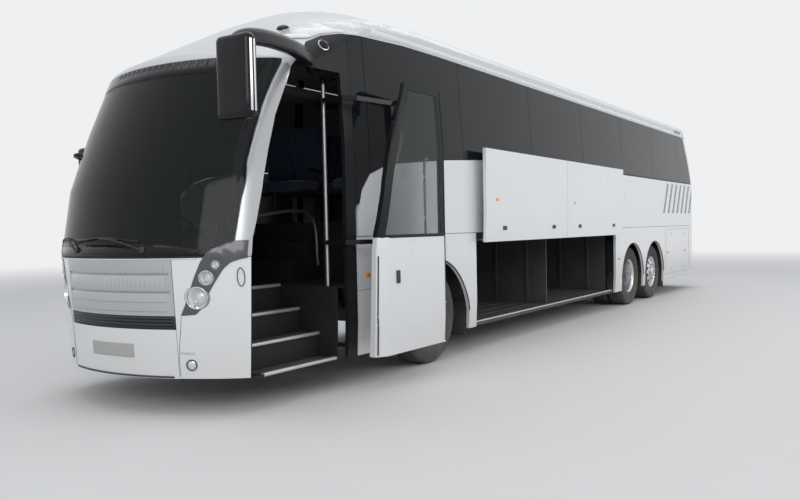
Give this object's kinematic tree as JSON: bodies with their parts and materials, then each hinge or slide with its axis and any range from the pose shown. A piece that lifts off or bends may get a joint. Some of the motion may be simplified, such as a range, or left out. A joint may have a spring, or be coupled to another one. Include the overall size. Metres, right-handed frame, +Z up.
{
  "type": "coach bus",
  "caption": "Long high-floor coach on three axles with a bowed front, an outswing entrance door standing open and lift-up luggage doors along the side.",
  "frame": {"origin": "on the ground below the middle of the whole vehicle", "axes": "+Z up, the front faces -Y, the entrance side is +X"},
  "size_m": [3.31, 15.008, 3.7399],
  "materials": {
    "white_paint": "gloss",
    "dark_paint": "gloss",
    "silver_paint": "satin",
    "tinted_glass": "polished",
    "clear_glass": "polished",
    "mirror_glass": "polished",
    "black_plastic": "matte",
    "gloss_plastic": "gloss",
    "lamp_clear": "polished",
    "lamp_red": "gloss",
    "tyre": "matte",
    "alloy": "polished",
    "steel": "satin",
    "chassis_steel": "satin",
    "cast_iron": "matte",
    "floor_grey": "matte",
    "seat_cloth": "woven",
    "trim_grey": "matte"
  },
  "bodies": {
    "coach_body": {"air_bellows": "black_plastic", "axle_beams": "chassis_steel", "bay_sills": "alloy", "bay_tub": "floor_grey", "body_ribs": "trim_grey", "chassis_frame": "chassis_steel", "dashboard": "black_plastic", "door_frame": "dark_paint", "driver_seat": "seat_cloth", "engine_block": "cast_iron", "entrance_steps": "floor_grey", "floor_deck": "floor_grey", "front_bumper": "white_paint", "front_corners": "white_paint", "grille_panel": "silver_paint", "headlamps": "lamp_clear", "mirror_glass": "mirror_glass", "mirrors": "gloss_plastic", "parcel_racks": "trim_grey", "pillars": "silver_paint", "rear_panels": "white_paint", "rear_window": "tinted_glass", "roof_shell": "white_paint", "seats": "seat_cloth", "side_glass": "tinted_glass", "side_panels": "white_paint", "tail_lamps": "lamp_red", "waist_panels": "white_paint", "wheel_housings": "black_plastic", "window_posts": "black_plastic", "windscreen": "clear_glass", "windscreen_seat": "black_plastic"},
    "steer_near": {"knuckle_near": "cast_iron"},
    "steer_off": {"knuckle_off": "cast_iron"},
    "wheel_front_near": {"tyre_front_near": "tyre", "rim_front_near": "alloy"},
    "wheel_front_off": {"tyre_front_off": "tyre", "rim_front_off": "alloy"},
    "wheel_drive_near": {"tyre_drive_near": "tyre", "rim_drive_near": "alloy"},
    "wheel_drive_off": {"tyre_drive_off": "tyre", "rim_drive_off": "alloy"},
    "wheel_tag_near": {"tyre_tag_near": "tyre", "rim_tag_near": "alloy"},
    "wheel_tag_off": {"tyre_tag_off": "tyre", "rim_tag_off": "alloy"},
    "entrance_door_arms": {"door_arms": "steel"},
    "entrance_door": {"door_leaf": "dark_paint", "door_glass": "clear_glass"},
    "bay_arms_near_front": {"luggage_arms_near_front": "steel"},
    "bay_door_near_front": {"luggage_door_near_front": "white_paint"},
    "bay_arms_near_rear": {"luggage_arms_near_rear": "steel"},
    "bay_door_near_rear": {"luggage_door_near_rear": "white_paint"},
    "bay_arms_off_front": {"luggage_arms_off_front": "steel"},
    "bay_door_off_front": {"luggage_door_off_front": "white_paint"},
    "bay_arms_off_rear": {"luggage_arms_off_rear": "steel"},
    "bay_door_off_rear": {"luggage_door_off_rear": "white_paint"},
    "engine_lid": {"engine_door": "white_paint"},
    "side_flap": {"service_flap": "white_paint"},
    "handwheel": {"steering_wheel": "black_plastic"}
  },
  "joints": [
    {"name": "steer_near_turn", "type": "hinge", "parent": "coach_body", "child": "steer_near", "pos_m": [0.85, -4.2, 0.52], "axis": [0, 0, 1], "range_deg": [-40, 40]},
    {"name": "wheel_front_near_spin", "type": "hinge", "parent": "steer_near", "child": "wheel_front_near", "pos_m": [1.045, -4.2, 0.52], "axis": [1, 0, 0], "continuous": true},
    {"name": "wheel_drive_near_spin", "type": "hinge", "parent": "coach_body", "child": "wheel_drive_near", "pos_m": [1.045, 2.84, 0.52], "axis": [1, 0, 0], "continuous": true},
    {"name": "wheel_tag_near_spin", "type": "hinge", "parent": "coach_body", "child": "wheel_tag_near", "pos_m": [1.045, 4.24, 0.52], "axis": [1, 0, 0], "continuous": true},
    {"name": "steer_off_turn", "type": "hinge", "parent": "coach_body", "child": "steer_off", "pos_m": [-0.85, -4.2, 0.52], "axis": [0, 0, 1], "range_deg": [-40, 40]},
    {"name": "wheel_front_off_spin", "type": "hinge", "parent": "steer_off", "child": "wheel_front_off", "pos_m": [-1.045, -4.2, 0.52], "axis": [1, 0, 0], "continuous": true},
    {"name": "wheel_drive_off_spin", "type": "hinge", "parent": "coach_body", "child": "wheel_drive_off", "pos_m": [-1.045, 2.84, 0.52], "axis": [1, 0, 0], "continuous": true},
    {"name": "wheel_tag_off_spin", "type": "hinge", "parent": "coach_body", "child": "wheel_tag_off", "pos_m": [-1.045, 4.24, 0.52], "axis": [1, 0, 0], "continuous": true},
    {"name": "handwheel_turn", "type": "hinge", "parent": "coach_body", "child": "handwheel", "pos_m": [-0.6, -6.15, 1.56], "axis": [0, 0.5736, 0.8192], "range_deg": [-400, 400]},
    {"name": "door_arm_swing", "type": "hinge", "parent": "coach_body", "child": "entrance_door_arms", "pos_m": [1.00782, -5.75148, 1.5], "axis": [0, 0, 1], "range_deg": [-130.64, 0]},
    {"name": "door_leaf_turn", "type": "hinge", "parent": "entrance_door_arms", "child": "entrance_door", "pos_m": [1.455, -5.2, 1.5], "axis": [0, 0, 1], "range_deg": [0, 130.64]},
    {"name": "bay_near_front_lift", "type": "hinge", "parent": "coach_body", "child": "bay_arms_near_front", "pos_m": [1.09, -1.975, 1.32], "axis": [0, 1, 0], "range_deg": [0, 143.29]},
    {"name": "bay_near_front_turn", "type": "hinge", "parent": "bay_arms_near_front", "child": "bay_door_near_front", "pos_m": [1.324, -1.975, 1.79], "axis": [0, 1, 0], "range_deg": [-143.29, 0]},
    {"name": "bay_near_rear_lift", "type": "hinge", "parent": "coach_body", "child": "bay_arms_near_rear", "pos_m": [1.09, 0.575, 1.32], "axis": [0, 1, 0], "range_deg": [0, 143.29]},
    {"name": "bay_near_rear_turn", "type": "hinge", "parent": "bay_arms_near_rear", "child": "bay_door_near_rear", "pos_m": [1.324, 0.575, 1.79], "axis": [0, 1, 0], "range_deg": [-143.29, 0]},
    {"name": "bay_off_front_lift", "type": "hinge", "parent": "coach_body", "child": "bay_arms_off_front", "pos_m": [-1.09, -1.975, 1.32], "axis": [0, 1, 0], "range_deg": [0, 143.29]},
    {"name": "bay_off_front_turn", "type": "hinge", "parent": "bay_arms_off_front", "child": "bay_door_off_front", "pos_m": [-1.184, -1.975, 0.8], "axis": [0, 1, 0], "range_deg": [-143.29, 0]},
    {"name": "bay_off_rear_lift", "type": "hinge", "parent": "coach_body", "child": "bay_arms_off_rear", "pos_m": [-1.09, 0.575, 1.32], "axis": [0, 1, 0], "range_deg": [0, 143.29]},
    {"name": "bay_off_rear_turn", "type": "hinge", "parent": "bay_arms_off_rear", "child": "bay_door_off_rear", "pos_m": [-1.184, 0.575, 0.8], "axis": [0, 1, 0], "range_deg": [-143.29, 0]},
    {"name": "engine_lid_lift", "type": "hinge", "parent": "coach_body", "child": "engine_lid", "pos_m": [0, 7.535, 1.812], "axis": [1, 0, 0], "range_deg": [0, 95]},
    {"name": "side_flap_tilt", "type": "hinge", "parent": "coach_body", "child": "side_flap", "pos_m": [1.186, -5.31, 0.303], "axis": [0, 1, 0], "range_deg": [0, 22]}
  ],
  "couplings": [
    {"joint": "steer_off_turn", "follows": "steer_near_turn", "ratio": 1},
    {"joint": "handwheel_turn", "follows": "steer_near_turn", "ratio": 10},
    {"joint": "door_leaf_turn", "follows": "door_arm_swing", "ratio": -1},
    {"joint": "bay_near_front_turn", "follows": "bay_near_front_lift", "ratio": -1},
    {"joint": "bay_near_rear_turn", "follows": "bay_near_rear_lift", "ratio": -1},
    {"joint": "bay_off_front_turn", "follows": "bay_off_front_lift", "ratio": -1},
    {"joint": "bay_off_rear_turn", "follows": "bay_off_rear_lift", "ratio": -1}
  ]
}
